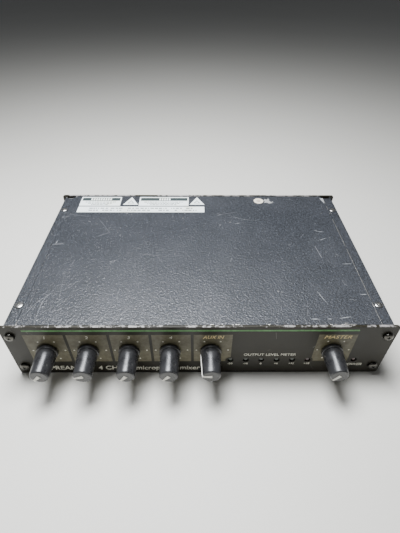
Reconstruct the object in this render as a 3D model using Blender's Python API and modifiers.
"""Half-rack microphone preamplifier and mixer, as an assembly of separate solids.

Four microphone channels, an auxiliary channel and a master control sit on the front plate, over a row of
level lights. The connectors are on the rear plate. The origin is on the table, under the middle of the
whole unit: +X is the user's right, +Y the rear and +Z up. Everything is in metres.
"""

import math

import bmesh
import bpy
from mathutils import Matrix, Vector

MM = 0.001
GAP = 0.25 * MM  # air between two pieces that touch

# Front and rear plates.
PLATE_WIDTH = 218.0 * MM
PLATE_BOTTOM = 0.4 * MM
PLATE_TOP = 43.7 * MM
PLATE_THICKNESS = 1.6 * MM
PLATE_CORNER = 1.5 * MM
CASE_DEPTH = 135.4 * MM  # front face to rear face
KNOB_REACH = 17.5 * MM  # front face to knob tip
PHONO_REACH = 9.1 * MM  # rear face to the end of a phono jack
OVERALL_DEPTH = KNOB_REACH + CASE_DEPTH + PHONO_REACH
FRONT_FACE = KNOB_REACH - OVERALL_DEPTH / 2
REAR_FACE = FRONT_FACE + CASE_DEPTH
FRONT_INSIDE = FRONT_FACE + PLATE_THICKNESS
REAR_INSIDE = REAR_FACE - PLATE_THICKNESS

# Folded sheet-steel cover and tray, which meet at a seam on each side.
CASE_HALF_WIDTH = 106.9 * MM
SHEET = 1.0 * MM
BEND_RADIUS = 1.6 * MM
MARGIN_TOP = 42.9 * MM  # the lower strip along each side of the cover
CROWN_TOP = 43.5 * MM  # the raised middle of the cover
CROWN_HALF_WIDTH = 99.3 * MM
JOGGLE = 0.9 * MM
SEAM = 32.85 * MM
TRAY_BOTTOM = 1.6 * MM
RELIEF_START = FRONT_FACE + 131.3 * MM  # slots in the cover's rear corners
RELIEF_INNER = 98.0 * MM
RELIEF_OUTER = 105.2 * MM

# Extruded rails inside the case, with screw channels for both plates.
RAIL_OUTER = CASE_HALF_WIDTH - SHEET - GAP
RAIL_INNER = 98.4 * MM
RAIL_WALL = 1.5 * MM
RAIL_BOTTOM = TRAY_BOTTOM + SHEET + GAP
RAIL_TOP = MARGIN_TOP - SHEET - GAP
CHANNEL_HALF = 2.7 * MM
CHANNEL_RADIUS = 1.3 * MM

# Fasteners.
CORNER_SCREW_X = 104.1 * MM
CORNER_SCREW_Z = (8.0 * MM, 36.0 * MM)
CORNER_SCREW_HEAD = 2.75 * MM
CORNER_SCREW_HEIGHT = 1.9 * MM
CORNER_SHANK = 1.15 * MM
CORNER_SHANK_LENGTH = 8.0 * MM
COVER_SCREW_X = 102.6 * MM
COVER_SCREW_Y = (FRONT_FACE + 16.5 * MM, FRONT_FACE + 114.3 * MM)
COVER_SCREW_HEAD = 2.3 * MM
COVER_SCREW_HEIGHT = 0.9 * MM
COVER_SHANK = 1.3 * MM
COVER_SHANK_LENGTH = 3.6 * MM
HOLE_CLEARANCE = 0.35 * MM

# Rotary controls: name, place along the panel, and where the pointer stands, clockwise from straight up.
CONTROL_PITCH = 23.25 * MM
FIRST_CONTROL_X = -86.65 * MM
CONTROL_Z = 23.2 * MM
CONTROLS = (
    ("channel_1", FIRST_CONTROL_X, -134),
    ("channel_2", FIRST_CONTROL_X + CONTROL_PITCH, -106),
    ("channel_3", FIRST_CONTROL_X + 2 * CONTROL_PITCH, -140),
    ("channel_4", FIRST_CONTROL_X + 3 * CONTROL_PITCH, -138),
    ("aux", FIRST_CONTROL_X + 4 * CONTROL_PITCH, -88),
    ("master", 75.85 * MM, -142),
)
KNOB_SKIRT = 6.1 * MM
KNOB_BASE = 5.75 * MM
KNOB_TIP = 5.0 * MM
KNOB_LIFT = 0.6 * MM  # the skirt's height above the panel
SHAFT_RADIUS = 3.0 * MM
SHAFT_BORE = 3.2 * MM
SHAFT_END = 11.2 * MM
SHAFT_FLAT = 1.5 * MM  # from the axis to the flat of the D
SHAFT_ROOT = 8.7 * MM  # how far it reaches behind the front face
BUSHING_RADIUS = 3.75 * MM
POT_HALF = 6.0 * MM
POT_BACK = 9.6 * MM

# Level lights.
LIGHT_Z = 13.1 * MM
LIGHT_X = tuple((18.2 + 9.18 * step) * MM for step in range(6))
POWER_LIGHT_X = 91.5 * MM
LIGHT_RADIUS = 1.5 * MM
LIGHT_HOLE = 1.75 * MM
LIGHT_HOLDER = 2.6 * MM

# Circuit boards.
BOARD = 1.6 * MM
CONTROL_BOARD_Y = FRONT_FACE + POT_BACK + GAP
MAIN_BOARD_Z = 7.6 * MM
MAIN_BOARD_TOP = MAIN_BOARD_Z + BOARD
MAIN_BOARD_HALF = 96.0 * MM
MAIN_BOARD_FRONT = FRONT_FACE + 16.0 * MM
MAIN_BOARD_BACK = REAR_INSIDE - 2.0 * MM
SEAT = MAIN_BOARD_TOP + GAP  # where a part on the main board starts

# Rear connectors.
SOCKET_X = (-87.5 * MM, -60.9 * MM, -34.3 * MM, -7.7 * MM)
OUTPUT_X = 20.5 * MM
SOCKET_Z = 21.85 * MM
FLANGE_HALF_WIDTH = 13.0 * MM
FLANGE_HALF_HEIGHT = 15.5 * MM
FLANGE_CORNER = 3.5 * MM
FLANGE_BACK = REAR_FACE + 0.2 * MM
FLANGE_FACE = FLANGE_BACK + 2.0 * MM
SHELL_RADIUS = 11.7 * MM
SHELL_LENGTH = 20.0 * MM
SHELL_HOLE = 12.1 * MM
SOCKET_BORE = 9.75 * MM
INSERT_RADIUS = 7.6 * MM
SOCKET_DEPTH = 12.0 * MM
PIN_CIRCLE = 4.75 * MM
PIN_RADIUS = 1.2 * MM
PIN_ANGLES = (30, 150, 270)
LATCH_TRAVEL = 1.5 * MM
LATCH_HALF_WIDTH = 2.4 * MM
LATCH_LOW, LATCH_HIGH = 10.15 * MM, 11.55 * MM  # above the socket's axis
PHONO_X = (43.0 * MM, 57.5 * MM)
PHONO_Z = 30.5 * MM
PHONO_RADIUS = 4.15 * MM
SWITCH_X = (43.0 * MM, 57.5 * MM)
SWITCH_Z = 12.4 * MM
SWITCH_TRAVEL = 3.0 * MM
SLIDER_HALF = 1.8 * MM
SLIDER_HALF_HEIGHT = 1.45 * MM
SLOT_HALF = 3.7 * MM
SLOT_HALF_HEIGHT = 1.85 * MM
INLET_X = 84.5 * MM
INLET_HALF_WIDTH = 15.2 * MM
INLET_HALF_HEIGHT = 12.0 * MM
INLET_BODY = (13.3 * MM, 9.8 * MM)
INLET_CAVITY = (12.1 * MM, 8.3 * MM)
INLET_DEPTH = 13.5 * MM
BLADES = ((-7.0 * MM, -2.0 * MM), (7.0 * MM, -2.0 * MM), (0.0, 2.0 * MM))
BLADE_HALF = (1.0 * MM, 2.0 * MM)

# Feet.
FOOT_X = 88.0 * MM
FOOT_Y = (-50.0 * MM, 58.0 * MM)
FOOT_RADIUS = 6.5 * MM

ROUND = 24  # sides of a round piece
SMALL_ROUND = 12  # sides of a screw, pin or light
TINY_ROUND = 8  # sides of a screw hole

FACING_FRONT = Matrix.Rotation(math.radians(90), 4, "X")  # turns a +Z axis to -Y
FACING_REAR = Matrix.Rotation(math.radians(-90), 4, "X")  # turns a +Z axis to +Y


# ---------------------------------------------------------------- scene, materials and basic shapes


def clear_scene():
    for obj in list(bpy.data.objects):
        bpy.data.objects.remove(obj)


def new_collection(name):
    collection = bpy.data.collections.new(name)
    bpy.context.scene.collection.children.link(collection)
    return collection


def material(name, colour, roughness, metallic=0.0):
    made = bpy.data.materials.get(name)
    if made:
        return made
    made = bpy.data.materials.new(name)
    made.use_nodes = True
    surface = made.node_tree.nodes["Principled BSDF"]
    surface.inputs["Base Color"].default_value = (*colour, 1.0)
    surface.inputs["Roughness"].default_value = roughness
    surface.inputs["Metallic"].default_value = metallic
    made.diffuse_color = (*colour, 1.0)
    return made


def black_paint():
    return material("black_paint", (0.02, 0.021, 0.023), 0.4)


def steel():
    return material("steel", (0.62, 0.62, 0.6), 0.3, 1.0)


def black_plastic():
    return material("black_plastic", (0.018, 0.018, 0.018), 0.45)


def new_object(name, mesh, look, place=None):
    obj = bpy.data.objects.new(name, mesh)
    PARTS.objects.link(obj)
    mesh.materials.append(look)
    if place is not None:
        obj.matrix_world = place
    return obj


def mesh_of(name, shape):
    mesh = bpy.data.meshes.new(name)
    shape.to_mesh(mesh)
    shape.free()
    mesh.shade_smooth()
    mesh.set_sharp_from_angle(angle=math.radians(35))
    return mesh


def add_box(shape, low, high, corner=0.0, along=1, steps=3):
    """Adds a box to a bmesh. Its four edges that run along one axis can have a corner radius."""
    low, high = Vector(low), Vector(high)
    size = high - low
    middle = Matrix.Translation((low + high) / 2)
    made = bmesh.ops.create_cube(shape, matrix=middle @ Matrix.Diagonal((*size, 1.0)))
    if corner:
        edges = {edge for vert in made["verts"] for edge in vert.link_edges}
        rounded = [e for e in edges if abs((e.verts[0].co - e.verts[1].co)[along]) > size[along] / 2]
        bmesh.ops.bevel(
            shape, geom=rounded, offset=corner, segments=steps, profile=0.5, affect="EDGES"
        )


def add_cylinder(shape, start, radius, length, turn=None, sides=SMALL_ROUND):
    """Adds a cylinder that starts at a point and runs along +Z, or where turn takes +Z."""
    place = Matrix.Translation(start) @ (turn or Matrix.Identity(4))
    bmesh.ops.create_cone(
        shape,
        cap_ends=True,
        segments=sides,
        radius1=radius,
        radius2=radius,
        depth=length,
        matrix=place @ Matrix.Translation((0, 0, length / 2)),
    )


def box_piece(name, look, low, high, corner=0.0, along=1):
    shape = bmesh.new()
    add_box(shape, low, high, corner, along)
    return new_object(name, mesh_of(name, shape), look)


def turned(name, profile, look, place, sides=ROUND, closed=False):
    """A profile of (radius, height) points, down its outer side, turned about its own Z axis."""
    mesh = bpy.data.meshes.new(name)
    points = [(radius, 0.0, height) for radius, height in profile]
    edges = [(i, i + 1) for i in range(len(points) - 1)]
    if closed:
        edges.append((len(points) - 1, 0))
    mesh.from_pydata(points, edges, [])
    obj = new_object(name, mesh, look, place)
    screw = obj.modifiers.new("turn", "SCREW")
    screw.steps = screw.render_steps = sides
    screw.use_merge_vertices = True
    screw.merge_threshold = 0.00001
    return obj


def folded_sheet(name, look, outline, start, end):
    """A sheet folded along an outline of (x, z) points on its outer face, running from start to end in Y."""
    shape = bmesh.new()
    verts = [shape.verts.new((x, start, z)) for x, z in outline]
    edges = [shape.edges.new(pair) for pair in zip(verts, verts[1:])]
    drawn = bmesh.ops.extrude_edge_only(shape, edges=edges)["geom"]
    moved = [item for item in drawn if isinstance(item, bmesh.types.BMVert)]
    bmesh.ops.translate(shape, verts=moved, vec=(0, end - start, 0))
    obj = new_object(name, mesh_of(name, shape), look)
    solidify = obj.modifiers.new("sheet", "SOLIDIFY")
    solidify.thickness = SHEET
    solidify.offset = 1.0
    solidify.use_even_offset = True
    return obj


def bend(x, z, start_angle, steps=3):
    """Points of a quarter bend about a centre, from an angle in degrees, clockwise."""
    return [
        (
            x + BEND_RADIUS * math.cos(math.radians(start_angle - 90 * i / steps)),
            z + BEND_RADIUS * math.sin(math.radians(start_angle - 90 * i / steps)),
        )
        for i in range(steps + 1)
    ]


def mirrored(half):
    """The whole outline from its left half."""
    return half + [(-x, z) for x, z in reversed(half)]


def combine(obj, other, operation):
    """Cuts the other object from this one, or joins it to this one, and hides the other as a helper."""
    for collection in list(other.users_collection):
        collection.objects.unlink(other)
    CUTTERS.objects.link(other)
    other.hide_render = True
    other.display_type = "WIRE"
    step = obj.modifiers.new(other.name, "BOOLEAN")
    step.operation = operation
    step.solver = "EXACT"
    step.object = other
    return obj


def cut(obj, shape):
    name = obj.name + "_cutter"
    return combine(obj, new_object(name, mesh_of(name, shape), black_paint()), "DIFFERENCE")


def join(obj, shape):
    name = obj.name + "_addition"
    return combine(obj, new_object(name, mesh_of(name, shape), black_paint()), "UNION")


# ---------------------------------------------------------------- case


def screw_corners():
    return [(side * CORNER_SCREW_X, z) for side in (-1, 1) for z in CORNER_SCREW_Z]


def plate(name, front):
    return box_piece(
        name,
        black_paint(),
        (-PLATE_WIDTH / 2, front, PLATE_BOTTOM),
        (PLATE_WIDTH / 2, front + PLATE_THICKNESS, PLATE_TOP),
        PLATE_CORNER,
    )


def front_panel():
    obj = plate("front_panel", FRONT_FACE)
    holes = bmesh.new()
    before = FRONT_FACE - MM
    through = PLATE_THICKNESS + 2 * MM
    for x, z in screw_corners():
        radius = CORNER_SHANK + HOLE_CLEARANCE
        add_cylinder(holes, (x, before, z), radius, through, FACING_REAR, TINY_ROUND)
    for _, x, _ in CONTROLS:
        radius = BUSHING_RADIUS + GAP
        add_cylinder(holes, (x, before, CONTROL_Z), radius, through, FACING_REAR, 16)
    for x in (*LIGHT_X, POWER_LIGHT_X):
        add_cylinder(holes, (x, before, LIGHT_Z), LIGHT_HOLE, through, FACING_REAR)
    return cut(obj, holes)


def rear_panel():
    obj = plate("rear_panel", REAR_INSIDE)
    holes = bmesh.new()
    before = REAR_INSIDE - MM
    after = REAR_FACE + MM
    through = after - before
    for x, z in screw_corners():
        radius = CORNER_SHANK + HOLE_CLEARANCE
        add_cylinder(holes, (x, before, z), radius, through, FACING_REAR, TINY_ROUND)
    for x in (*SOCKET_X, OUTPUT_X):
        add_cylinder(holes, (x, before, SOCKET_Z), SHELL_HOLE, through, FACING_REAR, ROUND)
    for x in PHONO_X:
        add_cylinder(holes, (x, before, PHONO_Z), PHONO_RADIUS + 0.9 * MM, through, FACING_REAR, 16)
    for x in SWITCH_X:
        low = (x - SLOT_HALF, before, SWITCH_Z - SLOT_HALF_HEIGHT)
        add_box(holes, low, (x + SLOT_HALF, after, SWITCH_Z + SLOT_HALF_HEIGHT))
    width, height = INLET_BODY[0] + GAP, INLET_BODY[1] + GAP
    low = (INLET_X - width, before, SOCKET_Z - height)
    add_box(holes, low, (INLET_X + width, after, SOCKET_Z + height), 1.2 * MM)
    return cut(obj, holes)


def top_cover():
    side, crown = -CASE_HALF_WIDTH, -CROWN_HALF_WIDTH
    fold = bend(side + BEND_RADIUS, MARGIN_TOP - BEND_RADIUS, 180)
    half = [(side, SEAM + GAP), *fold, (crown - JOGGLE, MARGIN_TOP), (crown, CROWN_TOP)]
    start, end = FRONT_INSIDE + GAP, REAR_INSIDE - GAP
    obj = folded_sheet("top_cover", black_paint(), mirrored(half), start, end)
    holes = bmesh.new()
    for x, y in cover_screw_places():
        start = (x, y, MARGIN_TOP - 3 * SHEET)
        add_cylinder(holes, start, COVER_SHANK + HOLE_CLEARANCE, 5 * SHEET, sides=TINY_ROUND)
    for side in (-1, 1):
        left, right = sorted((side * RELIEF_INNER, side * RELIEF_OUTER))
        low = (left, RELIEF_START, MARGIN_TOP - 3 * SHEET)
        add_box(holes, low, (right, REAR_INSIDE + MM, CROWN_TOP + MM))
    return cut(obj, holes)


def bottom_tray():
    side = -CASE_HALF_WIDTH
    fold = bend(side + BEND_RADIUS, TRAY_BOTTOM + BEND_RADIUS, 270)
    half = [(side, SEAM), *reversed(fold)]
    start, end = FRONT_INSIDE + GAP, REAR_INSIDE - GAP
    outline = list(reversed(mirrored(half)))
    obj = folded_sheet("bottom_tray", black_paint(), outline, start, end)
    posts = bmesh.new()
    bottom = TRAY_BOTTOM + SHEET / 2
    for x in (-88 * MM, 0.0, 92 * MM):
        for y in (-38 * MM, 45 * MM):
            add_cylinder(posts, (x, y, bottom), 3.0 * MM, MAIN_BOARD_Z - GAP - bottom)
    return join(obj, posts)


def rail(name, side):
    """A C-shaped extrusion with two round screw channels that run its whole length."""
    wall = RAIL_OUTER - RAIL_WALL
    channel = CORNER_SCREW_X - CHANNEL_HALF
    outline = [(RAIL_OUTER, RAIL_BOTTOM), (RAIL_OUTER, RAIL_TOP), (RAIL_INNER, RAIL_TOP)]
    outline += [(RAIL_INNER, RAIL_TOP - RAIL_WALL), (wall, RAIL_TOP - RAIL_WALL)]
    for z in reversed(CORNER_SCREW_Z):
        outline += [(wall, z + CHANNEL_HALF), (channel, z + CHANNEL_HALF)]
        outline += [(channel, z - CHANNEL_HALF), (wall, z - CHANNEL_HALF)]
    outline += [(wall, RAIL_BOTTOM + RAIL_WALL), (RAIL_INNER, RAIL_BOTTOM + RAIL_WALL)]
    outline += [(RAIL_INNER, RAIL_BOTTOM)]
    start, end = FRONT_INSIDE + GAP, REAR_INSIDE - GAP
    shape = bmesh.new()
    section = shape.faces.new([shape.verts.new((side * x, start, z)) for x, z in outline])
    drawn = bmesh.ops.extrude_face_region(shape, geom=[section])["geom"]
    moved = [item for item in drawn if isinstance(item, bmesh.types.BMVert)]
    bmesh.ops.translate(shape, verts=moved, vec=(0, end - start, 0))
    bmesh.ops.recalc_face_normals(shape, faces=shape.faces)
    look = material("rail_aluminium", (0.7, 0.7, 0.71), 0.35, 1.0)
    obj = new_object(name, mesh_of(name, shape), look)
    holes = bmesh.new()
    for z in CORNER_SCREW_Z:
        place = (side * CORNER_SCREW_X, start - MM, z)
        add_cylinder(holes, place, CHANNEL_RADIUS + 0.1 * MM, end - start + 2 * MM, FACING_REAR)
    for y in COVER_SCREW_Y:
        place = (side * COVER_SCREW_X, y, RAIL_TOP - RAIL_WALL - 0.2 * MM)
        add_cylinder(holes, place, COVER_SHANK + 0.2 * MM, RAIL_WALL + 0.5 * MM)
    return cut(obj, holes)


def foot(name, x, y):
    top = TRAY_BOTTOM - GAP
    edge = 0.3 * MM
    profile = [(0, top), (FOOT_RADIUS, top), (FOOT_RADIUS, edge), (FOOT_RADIUS - edge, 0), (0, 0)]
    look = material("foot_rubber", (0.03, 0.03, 0.03), 0.85)
    return turned(name, profile, look, Matrix.Translation((x, y, 0)))


# ---------------------------------------------------------------- fasteners


def cross_screw(name, place, look, head, height, shank, length):
    """A domed screw with a cross recess. Its axis is Z, its head stands on z = 0 and its shank hangs below."""
    dome = 0.45 * height
    profile = [(0, height), (0.7 * head, 0.85 * height), (head, dome), (head, 0), (shank, 0)]
    profile += [(shank, -length), (0, -length)]
    obj = turned(name, profile, look, place, sides=SMALL_ROUND)
    slot = bmesh.new()
    reach, half = 0.5 * head, 0.11 * head
    add_box(slot, (-reach, -half, 0.3 * height), (reach, half, 2 * height))
    obj = cut(obj, slot)
    cutter = obj.modifiers[-1].object
    cutter.matrix_world = place
    second = bmesh.new()
    add_box(second, (-half, -reach, 0.3 * height), (half, reach, 2 * height))
    obj = cut(obj, second)
    obj.modifiers[-1].object.matrix_world = place
    return obj


def cover_screw_places():
    return [(side * COVER_SCREW_X, y) for side in (-1, 1) for y in COVER_SCREW_Y]


def plate_screws(prefix, y, turn):
    """The black screws at a plate's corners."""
    black = material("screw_black", (0.03, 0.03, 0.03), 0.3, 0.6)
    names = ("bottom_left", "top_left", "bottom_right", "top_right")
    for name, (x, z) in zip(names, screw_corners()):
        cross_screw(
            prefix + name,
            Matrix.Translation((x, y, z)) @ turn,
            black,
            CORNER_SCREW_HEAD,
            CORNER_SCREW_HEIGHT,
            CORNER_SHANK,
            CORNER_SHANK_LENGTH,
        )


def cover_screws():
    names = ("front_left", "rear_left", "front_right", "rear_right")
    for name, (x, y) in zip(names, cover_screw_places()):
        place = Matrix.Translation((x, y, MARGIN_TOP + 0.15 * MM))
        cross_screw(
            "cover_screw_" + name,
            place,
            steel(),
            COVER_SCREW_HEAD,
            COVER_SCREW_HEIGHT,
            COVER_SHANK,
            COVER_SHANK_LENGTH,
        )


# ---------------------------------------------------------------- rotary controls


def control_pivot(name, x, clock_angle):
    """An empty on a control's axis, at the panel's face. Its +Z is the way the pointer stands."""
    pivot = bpy.data.objects.new(name + "_pivot", None)
    PARTS.objects.link(pivot)
    pivot.location = (x, FRONT_FACE, CONTROL_Z)
    pivot.rotation_euler = (0, math.radians(clock_angle), 0)
    return pivot


def on_pivot(obj, pivot):
    """Hangs a turned piece on a pivot, so that the piece's +Z points out of the panel."""
    obj.parent = pivot
    obj.matrix_parent_inverse = Matrix.Identity(4)
    obj.matrix_basis = FACING_FRONT
    return obj


def knob(name, pivot):
    """A tapered knob with a skirt, a groove above it, and a D-shaped bore for the shaft."""
    neck, groove, skirt = 3.2 * MM, 5.3 * MM, 2.5 * MM
    profile = [(0, KNOB_REACH), (KNOB_TIP - 0.7 * MM, KNOB_REACH), (KNOB_TIP, KNOB_REACH - 0.7 * MM)]
    profile += [(KNOB_BASE, neck), (groove, neck), (groove, skirt), (KNOB_SKIRT, skirt)]
    profile += [(KNOB_SKIRT, KNOB_LIFT), (SHAFT_BORE, KNOB_LIFT), (SHAFT_BORE, SHAFT_END + GAP)]
    profile += [(0, SHAFT_END + GAP)]
    obj = on_pivot(turned(name, profile, black_plastic(), None, sides=20), pivot)
    key = bmesh.new()
    low = (-0.85 * SHAFT_BORE, SHAFT_FLAT + 0.2 * MM, 4.0 * MM)
    add_box(key, low, (0.85 * SHAFT_BORE, SHAFT_BORE + 0.6 * MM, SHAFT_END + MM))
    obj = join(obj, key)
    on_pivot(obj.modifiers[-1].object, pivot)
    return obj


def shaft(name, pivot):
    """A round shaft with a flat on the end that the knob is pushed onto."""
    profile = [(0, SHAFT_END), (SHAFT_RADIUS, SHAFT_END), (SHAFT_RADIUS, -SHAFT_ROOT), (0, -SHAFT_ROOT)]
    obj = on_pivot(turned(name, profile, steel(), None, sides=16), pivot)
    flat = bmesh.new()
    low = (-2 * SHAFT_RADIUS, SHAFT_FLAT, 3.7 * MM)
    add_box(flat, low, (2 * SHAFT_RADIUS, 2 * SHAFT_RADIUS, SHAFT_END + MM))
    obj = cut(obj, flat)
    on_pivot(obj.modifiers[-1].object, pivot)
    return obj


def potentiometer(name, x):
    """A rotary potentiometer: a box behind the panel, a bushing through the panel, and a bore."""
    look = material("pot_case", (0.12, 0.16, 0.2), 0.5)
    low = (x - POT_HALF, FRONT_INSIDE + GAP, CONTROL_Z - POT_HALF)
    high = (x + POT_HALF, FRONT_FACE + POT_BACK, CONTROL_Z + POT_HALF)
    obj = box_piece(name, look, low, high, 1.0 * MM)
    bushing = bmesh.new()
    start = (x, FRONT_FACE - 0.3 * MM, CONTROL_Z)
    add_cylinder(bushing, start, BUSHING_RADIUS, 4.0 * MM, FACING_REAR, 16)
    bore = bmesh.new()
    start = (x, FRONT_FACE - MM, CONTROL_Z)
    add_cylinder(bore, start, SHAFT_BORE, SHAFT_ROOT + MM + GAP, FACING_REAR, 16)
    return cut(join(obj, bushing), bore)


def controls():
    for name, x, clock_angle in CONTROLS:
        pivot = control_pivot(name, x, clock_angle)
        knob("knob_" + name, pivot)
        shaft("shaft_" + name, pivot)
        potentiometer("pot_" + name, x)


# ---------------------------------------------------------------- level lights


def add_lights(shape, places):
    """Round lights that reach from their holder to the panel's front face."""
    for x in places:
        start = (x, FRONT_FACE + 3.0 * MM, LIGHT_Z)
        add_cylinder(shape, start, LIGHT_RADIUS, 2.8 * MM, FACING_FRONT)


def light_row(name, places):
    """Lights in the plastic holder that stands them off the control board."""
    look = material("light_red", (0.16, 0.02, 0.02), 0.2)
    low = (min(places) - LIGHT_HOLDER, FRONT_INSIDE + GAP, LIGHT_Z - LIGHT_HOLDER)
    high = (max(places) + LIGHT_HOLDER, CONTROL_BOARD_Y - GAP, LIGHT_Z + LIGHT_HOLDER)
    obj = box_piece(name, look, low, high, 0.6 * MM)
    lights = bmesh.new()
    add_lights(lights, places)
    return join(obj, lights)


# ---------------------------------------------------------------- boards and what they carry


def board_look():
    return material("board_green", (0.03, 0.16, 0.07), 0.5)


def control_board():
    """The upright board behind the front panel, with its chips and the ribbon header on the back."""
    low = (-94 * MM, CONTROL_BOARD_Y, 4.2 * MM)
    back = CONTROL_BOARD_Y + BOARD
    obj = box_piece("control_board", board_look(), low, (94 * MM, back, 38 * MM), MM)
    parts = bmesh.new()
    for x in (-70 * MM, -40 * MM, -10 * MM, 40 * MM):
        low = (x - 5 * MM, back - 0.2 * MM, 27 * MM)
        add_box(parts, low, (x + 5 * MM, back + 3.4 * MM, 33.5 * MM))
    low = (8 * MM, back - 0.2 * MM, 13 * MM)
    add_box(parts, low, (34 * MM, back + 6 * MM, 21 * MM))
    return join(obj, parts)


def main_board():
    """The board on the tray, with its soldered chips, capacitors, regulators, header and switch bodies."""
    low = (-MAIN_BOARD_HALF, MAIN_BOARD_FRONT, MAIN_BOARD_Z)
    high = (MAIN_BOARD_HALF, MAIN_BOARD_BACK, MAIN_BOARD_TOP)
    obj = box_piece("main_board", board_look(), low, high, MM, along=2)
    parts = bmesh.new()
    sunk = MAIN_BOARD_TOP - 0.2 * MM
    for x in (-82 * MM, -58 * MM, -34 * MM, -10 * MM):
        add_box(parts, (x - 5 * MM, -8 * MM, sunk), (x + 5 * MM, -1.5 * MM, MAIN_BOARD_TOP + 3.4 * MM))
    add_box(parts, (8 * MM, MAIN_BOARD_FRONT + 2 * MM, sunk), (34 * MM, -38 * MM, MAIN_BOARD_TOP + 6 * MM))
    for y in (-20 * MM, 0.0, 20 * MM):
        add_cylinder(parts, (38 * MM, y, sunk), 6.2 * MM, 16 * MM, sides=16)
    add_box(parts, (14 * MM, 6 * MM, sunk), (26 * MM, 8 * MM, MAIN_BOARD_TOP + 20 * MM))
    front = REAR_INSIDE - 8 * MM
    for x in SWITCH_X:
        top = SWITCH_Z + 3.2 * MM
        add_box(parts, (x - 6.4 * MM, front, sunk), (x + 6.4 * MM, REAR_INSIDE - 0.4 * MM, top))
    obj = join(obj, parts)
    slots = bmesh.new()
    for x in SWITCH_X:
        low = (x - SLOT_HALF, front + 3 * MM, SWITCH_Z - SLOT_HALF_HEIGHT)
        add_box(slots, low, (x + SLOT_HALF, REAR_INSIDE, SWITCH_Z + SLOT_HALF_HEIGHT))
    return cut(obj, slots)


def mains_transformer():
    """A laminated core with its winding showing at both ends."""
    x, y = 74 * MM, 14 * MM
    look = material("transformer_iron", (0.16, 0.15, 0.14), 0.6, 0.6)
    low = (x - 21 * MM, y - 9 * MM, SEAT)
    obj = box_piece("mains_transformer", look, low, (x + 21 * MM, y + 9 * MM, SEAT + 30 * MM))
    winding = bmesh.new()
    low = (x - 13.5 * MM, y - 16 * MM, SEAT + 6 * MM)
    add_box(winding, low, (x + 13.5 * MM, y + 16 * MM, SEAT + 24 * MM), 3.0 * MM)
    return join(obj, winding)


# ---------------------------------------------------------------- rear connectors


def flange_and_shell(name, x):
    """A connector's square flange, on the rear panel, with its round shell through the panel."""
    look = material("connector_black", (0.025, 0.025, 0.027), 0.35, 0.4)
    low = (x - FLANGE_HALF_WIDTH, FLANGE_BACK, SOCKET_Z - FLANGE_HALF_HEIGHT)
    high = (x + FLANGE_HALF_WIDTH, FLANGE_FACE, SOCKET_Z + FLANGE_HALF_HEIGHT)
    obj = box_piece(name, look, low, high, FLANGE_CORNER)
    shell = bmesh.new()
    start = (x, FLANGE_FACE - MM, SOCKET_Z)
    add_cylinder(shell, start, SHELL_RADIUS, SHELL_LENGTH, FACING_FRONT, ROUND)
    return join(obj, shell)


def pin_places(x):
    return [
        (
            x + PIN_CIRCLE * math.cos(math.radians(angle)),
            SOCKET_Z + PIN_CIRCLE * math.sin(math.radians(angle)),
        )
        for angle in PIN_ANGLES
    ]


def microphone_socket(name, x):
    """A locking three-pole socket: a ring-shaped gap for the plug's shell, three contact holes, a latch slot."""
    obj = flange_and_shell(name, x)
    top, bottom = MM, -SOCKET_DEPTH
    ring = [(SOCKET_BORE, top), (SOCKET_BORE, bottom), (INSERT_RADIUS, bottom), (INSERT_RADIUS, top)]
    place = Matrix.Translation((x, FLANGE_FACE, SOCKET_Z)) @ FACING_REAR
    gap = turned(name + "_ring", ring, black_paint(), place, closed=True)
    combine(obj, gap, "DIFFERENCE")
    holes = bmesh.new()
    for pin_x, pin_z in pin_places(x):
        start = (pin_x, FLANGE_FACE + MM, pin_z)
        add_cylinder(holes, start, PIN_RADIUS + 0.1 * MM, SOCKET_DEPTH + MM, FACING_FRONT)
    cut(obj, holes)
    slot = bmesh.new()
    half = LATCH_HALF_WIDTH + 0.35 * MM
    low = (x - half, FLANGE_FACE - 11 * MM, SOCKET_Z + 9.0 * MM)
    add_box(slot, low, (x + half, FLANGE_FACE + MM, SOCKET_Z + 11.95 * MM))
    return cut(obj, slot)


def socket_latch(name, x):
    """The push tab over a microphone socket: a stem in the slot, a thumb pad outside, a hook in the gap."""
    pad_back = FLANGE_FACE + LATCH_TRAVEL + 0.3 * MM
    low = (x - LATCH_HALF_WIDTH, FLANGE_FACE - 8 * MM, SOCKET_Z + LATCH_LOW)
    high = (x + LATCH_HALF_WIDTH, pad_back + 0.5 * MM, SOCKET_Z + LATCH_HIGH)
    obj = box_piece(name, steel(), low, high)
    pad = bmesh.new()
    low = (x - 4.3 * MM, pad_back, SOCKET_Z + 9.8 * MM)
    add_box(pad, low, (x + 4.3 * MM, pad_back + 1.4 * MM, SOCKET_Z + 14.0 * MM), 0.8 * MM)
    hook = bmesh.new()
    low = (x - 2.0 * MM, FLANGE_FACE - 7.8 * MM, SOCKET_Z + 9.3 * MM)
    add_box(hook, low, (x + 2.0 * MM, FLANGE_FACE - 6.0 * MM, SOCKET_Z + LATCH_LOW + 0.3 * MM))
    return join(join(obj, pad), hook)


def output_socket():
    """The shell of the output connector, with a plain round cavity."""
    obj = flange_and_shell("output_socket", OUTPUT_X)
    cavity = bmesh.new()
    start = (OUTPUT_X, FLANGE_FACE + MM, SOCKET_Z)
    add_cylinder(cavity, start, SOCKET_BORE, 14.5 * MM, FACING_FRONT, ROUND)
    return cut(obj, cavity)


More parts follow.
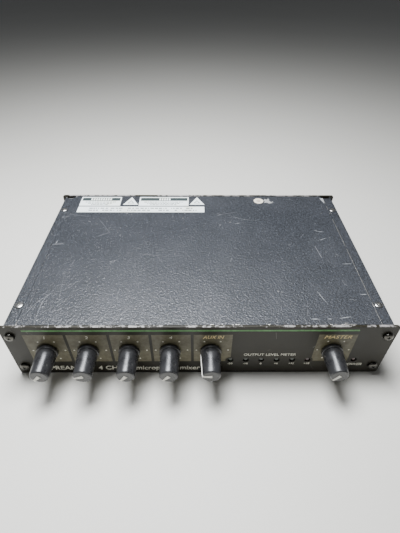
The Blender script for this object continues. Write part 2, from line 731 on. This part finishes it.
def output_contacts():
    """The insulating disc at the bottom of the output connector, with its three pins."""
    bottom = FLANGE_FACE - 13.2 * MM
    look = material("contact_silver", (0.75, 0.75, 0.72), 0.25, 1.0)
    face = 3.0 * MM
    radius = SOCKET_BORE - GAP - 0.1 * MM
    profile = [(0, face), (radius, face), (radius, 0), (0, 0)]
    place = Matrix.Translation((OUTPUT_X, bottom, SOCKET_Z)) @ FACING_REAR
    obj = turned("output_contacts", profile, look, place)
    pins = bmesh.new()
    for x, z in pin_places(OUTPUT_X):
        add_cylinder(pins, (x, bottom + MM, z), PIN_RADIUS, 10.5 * MM, FACING_REAR)
    return join(obj, pins)


def phono_jack(name, x):
    """A panel jack: its nut and body behind the panel, a collar on it, and the round contact barrel."""
    back, barrel, reach = -9.0 * MM, PHONO_RADIUS, PHONO_REACH
    collar, hole = 5.6 * MM, 1.7 * MM
    profile = [(0, 1.0 * MM), (hole, 1.0 * MM), (hole, reach), (barrel - 0.4 * MM, reach)]
    profile += [(barrel, reach - 0.4 * MM), (barrel, 1.4 * MM), (collar, 1.4 * MM), (collar, 0.3 * MM)]
    profile += [(barrel, 0.3 * MM), (barrel, -PLATE_THICKNESS - GAP), (collar, -PLATE_THICKNESS - GAP)]
    profile += [(collar, back), (0, back)]
    place = Matrix.Translation((x, REAR_FACE, PHONO_Z)) @ FACING_REAR
    return turned(name, profile, steel(), place, sides=16)


def slide_actuator(name, x):
    """The moving nub of a slide switch, standing at the left end of its travel."""
    centre = x - SWITCH_TRAVEL / 2
    low = (centre - SLIDER_HALF, REAR_INSIDE - 4.6 * MM, SWITCH_Z - SLIDER_HALF_HEIGHT)
    high = (centre + SLIDER_HALF, REAR_FACE + 1.0 * MM, SWITCH_Z + SLIDER_HALF_HEIGHT)
    return box_piece(name, black_plastic(), low, high, 0.4 * MM)


def power_inlet():
    """The mains inlet: a flange outside, a body through the panel, a cavity, and three flat blades."""
    look = black_plastic()
    low = (INLET_X - INLET_HALF_WIDTH, FLANGE_BACK, SOCKET_Z - INLET_HALF_HEIGHT)
    high = (INLET_X + INLET_HALF_WIDTH, FLANGE_FACE, SOCKET_Z + INLET_HALF_HEIGHT)
    obj = box_piece("power_inlet", look, low, high, 2.5 * MM)
    body = bmesh.new()
    width, height = INLET_BODY
    low = (INLET_X - width, FLANGE_FACE - 17 * MM, SOCKET_Z - height)
    add_box(body, low, (INLET_X + width, FLANGE_FACE - MM, SOCKET_Z + height), 1.0 * MM)
    join(obj, body)
    cavity = bmesh.new()
    width, height = INLET_CAVITY
    bottom = FLANGE_FACE - INLET_DEPTH
    low = (INLET_X - width, bottom, SOCKET_Z - height)
    add_box(cavity, low, (INLET_X + width, FLANGE_FACE + MM, SOCKET_Z + height), 2.0 * MM)
    cut(obj, cavity)
    blades = bmesh.new()
    for x, z in BLADES:
        low = (INLET_X + x - BLADE_HALF[0], bottom - MM, SOCKET_Z + z - BLADE_HALF[1])
        high = (INLET_X + x + BLADE_HALF[0], bottom + 11 * MM, SOCKET_Z + z + BLADE_HALF[1])
        add_box(blades, low, high)
    return join(obj, blades)


def rear_connectors():
    for number, x in enumerate(SOCKET_X, 1):
        microphone_socket(f"mic_socket_{number}", x)
        socket_latch(f"latch_{number}", x)
    output_socket()
    output_contacts()
    for name, x in zip(("aux_phono_jack", "line_phono_jack"), PHONO_X):
        phono_jack(name, x)
    for name, x in zip(("level_slider", "phantom_slider"), SWITCH_X):
        slide_actuator(name, x)
    power_inlet()


def build():
    front_panel()
    rear_panel()
    top_cover()
    bottom_tray()
    rail("left_rail", -1)
    rail("right_rail", 1)
    for end, y in zip(("front", "rear"), FOOT_Y):
        foot(f"foot_{end}_left", -FOOT_X, y)
        foot(f"foot_{end}_right", FOOT_X, y)
    plate_screws("front_screw_", FRONT_FACE - 0.15 * MM, FACING_FRONT)
    plate_screws("rear_screw_", REAR_FACE + 0.15 * MM, FACING_REAR)
    cover_screws()
    controls()
    light_row("meter_lights", LIGHT_X)
    light_row("power_light", (POWER_LIGHT_X,))
    control_board()
    main_board()
    mains_transformer()
    rear_connectors()


clear_scene()
PARTS = new_collection("microphone_preamp")
CUTTERS = new_collection("cutters")
build()
